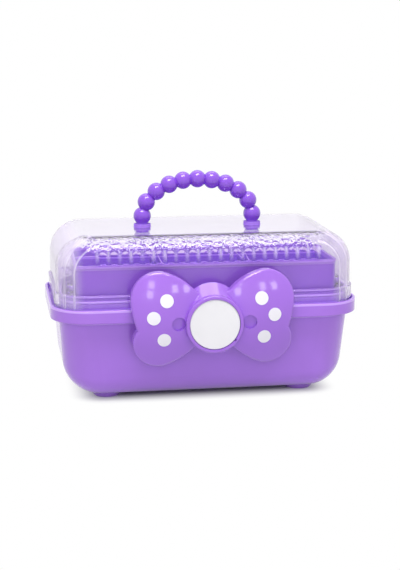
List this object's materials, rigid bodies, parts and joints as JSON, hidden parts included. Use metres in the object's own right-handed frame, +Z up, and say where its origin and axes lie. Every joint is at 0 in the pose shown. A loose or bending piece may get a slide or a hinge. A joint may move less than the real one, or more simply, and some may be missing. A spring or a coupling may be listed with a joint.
{
  "type": "tiered jewellery organizer with handle",
  "caption": "Carry box for jewellery with a tapered tub, a clear domed hinged lid, two trays that rise with the lid, a beaded arch handle and a bow-shaped clasp.",
  "frame": {"origin": "on the floor under the middle of the whole box, in width and in depth", "axes": "+X to the right seen from the front, -Y towards the front with the bow clasp, +Z up"},
  "size_m": [0.245, 0.1704, 0.1753],
  "materials": {
    "tub_purple": "glossy moulded purple plastic",
    "bead_purple": "glossy deeper purple plastic",
    "lid_clear": "clear polished plastic",
    "badge_white": "white plastic",
    "pin_steel": "drawn steel rod",
    "screw_steel": "plated self-tapping screw"
  },
  "bodies": {
    "tub": {"tub": "tub_purple", "clasp_pin": "pin_steel", "front_arm_pivot_left": "tub_purple", "front_arm_pivot_right": "tub_purple", "rear_arm_pivot_left": "tub_purple", "rear_arm_pivot_right": "tub_purple"},
    "lid": {"lid": "lid_clear", "handle": "bead_purple", "handle_button_left": "bead_purple", "handle_button_right": "bead_purple", "handle_screw_left": "screw_steel", "handle_screw_right": "screw_steel", "hinge_pin_left": "pin_steel", "hinge_pin_right": "pin_steel", "lid_tray_pin_left": "tub_purple", "lid_tray_pin_right": "tub_purple"},
    "clasp": {"bow_clasp": "tub_purple", "bow_badge": "badge_white", "bow_dot_one_left": "badge_white", "bow_dot_one_right": "badge_white", "bow_dot_two_left": "badge_white", "bow_dot_two_right": "badge_white", "bow_dot_three_left": "badge_white", "bow_dot_three_right": "badge_white"},
    "upper_tray": {"upper_tray": "tub_purple", "upper_tray_pin_left": "tub_purple", "upper_tray_pin_right": "tub_purple"},
    "lower_tray": {"lower_tray": "tub_purple", "lower_tray_front_pin_left": "tub_purple", "lower_tray_front_pin_right": "tub_purple", "lower_tray_rear_pin_left": "tub_purple", "lower_tray_rear_pin_right": "tub_purple"},
    "front_arm_left": {"front_arm_left": "tub_purple"},
    "rear_arm_left": {"rear_arm_left": "tub_purple"},
    "front_arm_right": {"front_arm_right": "tub_purple"},
    "rear_arm_right": {"rear_arm_right": "tub_purple"}
  },
  "joints": [
    {"name": "lid_hinge", "type": "hinge", "parent": "tub", "child": "lid", "pos_m": [0, 0.08125, 0.0697], "axis": [-1, 0, 0], "range_deg": [0, 90]},
    {"name": "clasp_tilt", "type": "hinge", "parent": "tub", "child": "clasp", "pos_m": [0, -0.07125, 0.0677], "axis": [1, 0, 0], "range_deg": [0, 14]},
    {"name": "upper_tray_pivot", "type": "hinge", "parent": "lid", "child": "upper_tray", "pos_m": [0, 0.03125, 0.0897], "axis": [-1, 0, 0], "range_deg": [-90, 0]},
    {"name": "front_arm_left_pivot", "type": "hinge", "parent": "tub", "child": "front_arm_left", "pos_m": [-0.1058, 0.00975, 0.0697], "axis": [-1, 0, 0], "range_deg": [0, 90]},
    {"name": "rear_arm_left_pivot", "type": "hinge", "parent": "tub", "child": "rear_arm_left", "pos_m": [-0.1058, 0.03575, 0.0697], "axis": [-1, 0, 0], "range_deg": [0, 90]},
    {"name": "front_arm_right_pivot", "type": "hinge", "parent": "tub", "child": "front_arm_right", "pos_m": [0.1058, 0.00975, 0.0697], "axis": [-1, 0, 0], "range_deg": [0, 90]},
    {"name": "rear_arm_right_pivot", "type": "hinge", "parent": "tub", "child": "rear_arm_right", "pos_m": [0.1058, 0.03575, 0.0697], "axis": [-1, 0, 0], "range_deg": [0, 90]},
    {"name": "lower_tray_pivot", "type": "hinge", "parent": "front_arm_left", "child": "lower_tray", "pos_m": [0, -0.01525, 0.0797], "axis": [-1, 0, 0], "range_deg": [-90, 0]}
  ],
  "couplings": [
    {"joint": "upper_tray_pivot", "follows": "lid_hinge", "ratio": -1},
    {"joint": "front_arm_left_pivot", "follows": "lid_hinge", "ratio": 1},
    {"joint": "rear_arm_left_pivot", "follows": "lid_hinge", "ratio": 1},
    {"joint": "front_arm_right_pivot", "follows": "lid_hinge", "ratio": 1},
    {"joint": "rear_arm_right_pivot", "follows": "lid_hinge", "ratio": 1},
    {"joint": "lower_tray_pivot", "follows": "lid_hinge", "ratio": -1}
  ]
}
